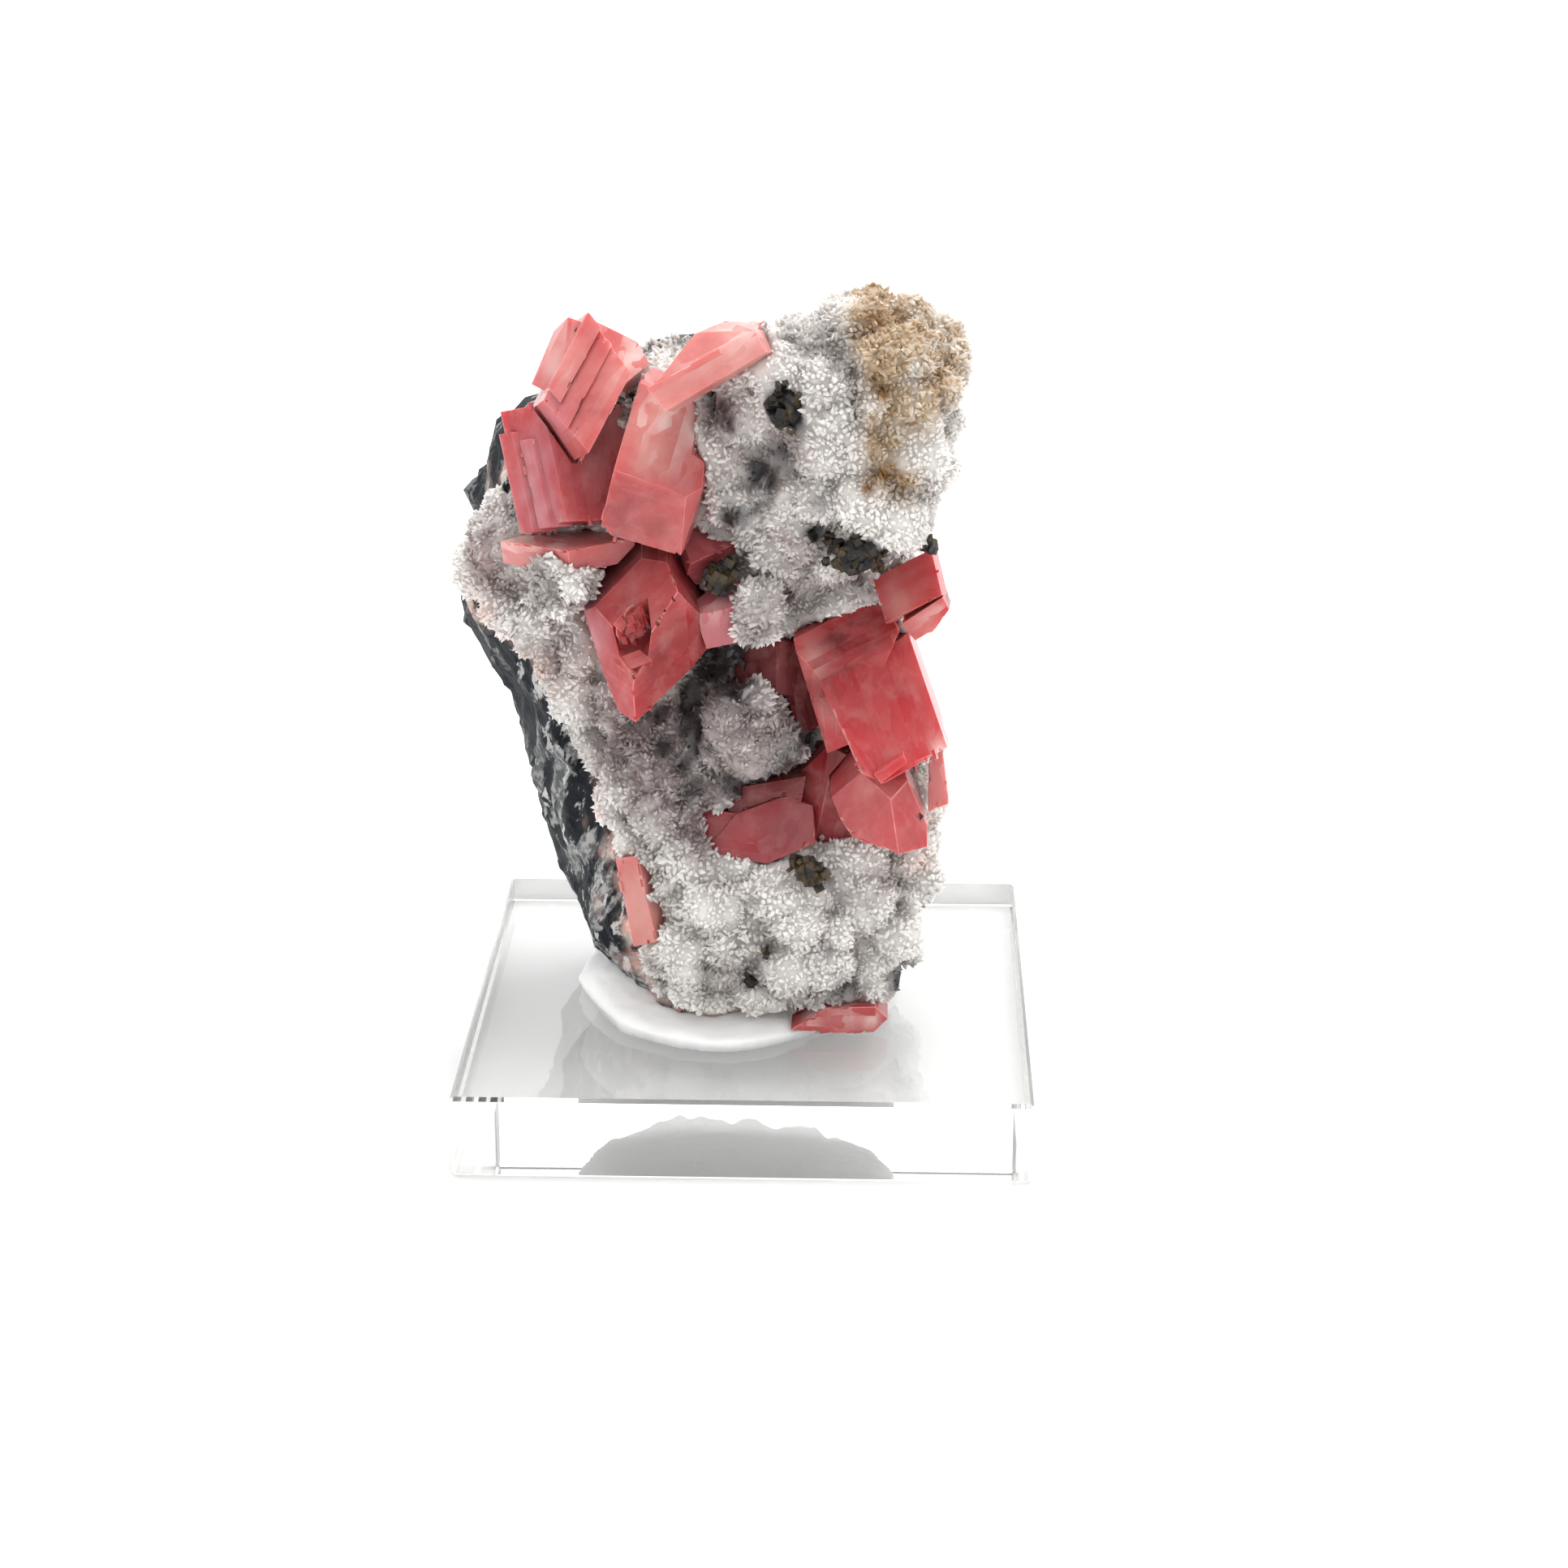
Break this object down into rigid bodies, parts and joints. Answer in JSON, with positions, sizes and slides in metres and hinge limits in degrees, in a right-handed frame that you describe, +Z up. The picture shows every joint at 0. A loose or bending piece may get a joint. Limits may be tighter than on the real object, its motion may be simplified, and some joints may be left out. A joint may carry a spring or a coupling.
{
  "type": "mineral specimen",
  "caption": "Rhodochrosite crystals with a druse of fine quartz on dark matrix rock, set with white putty on a clear acrylic display block.",
  "frame": {"origin": "centre of the acrylic block's underside, mount base", "axes": "+X to the right along the block's front edge as seen from the side with the crystals, +Y away from that side to the plain back of the rock, +Z up from the flat underside"},
  "size_m": [0.0412, 0.04, 0.058],
  "materials": {
    "acrylic": "clear cast acrylic, polished top and underside, sawn sides slightly frosted",
    "putty": "matt white putty",
    "matrix": "rough broken rock, nearly black with grey and white streaks",
    "quartz": "sugary translucent white druse, tan in places",
    "rhodochrosite": "translucent rose red crystal, vitreous with striated faces",
    "ore": "glossy dark brown ore grains"
  },
  "bodies": {
    "root": {"acrylic_block": "acrylic", "matrix_rock": "matrix", "mounting_putty": "putty", "ore_grain_centre": "ore", "ore_grain_edge": "ore", "ore_grain_low": "ore", "ore_grain_overhang": "ore", "ore_grain_top": "ore", "quartz_crust": "quartz", "quartz_cushion_centre": "quartz", "quartz_cushion_left": "quartz", "quartz_knob": "quartz", "rhodochrosite_back_crystal": "rhodochrosite", "rhodochrosite_bar": "rhodochrosite", "rhodochrosite_blade": "rhodochrosite", "rhodochrosite_blade_back": "rhodochrosite", "rhodochrosite_crest": "rhodochrosite", "rhodochrosite_foot": "rhodochrosite", "rhodochrosite_left_block": "rhodochrosite", "rhodochrosite_low_slab": "rhodochrosite", "rhodochrosite_middle_cluster": "rhodochrosite", "rhodochrosite_recess": "rhodochrosite", "rhodochrosite_right_cluster": "rhodochrosite", "rhodochrosite_right_edge": "rhodochrosite", "rhodochrosite_right_inner": "rhodochrosite", "rhodochrosite_right_low": "rhodochrosite", "rhodochrosite_right_top": "rhodochrosite", "rhodochrosite_shelf": "rhodochrosite", "rhodochrosite_small_crystal": "rhodochrosite", "rhodochrosite_upper_slab": "rhodochrosite"}
  },
  "joints": []
}
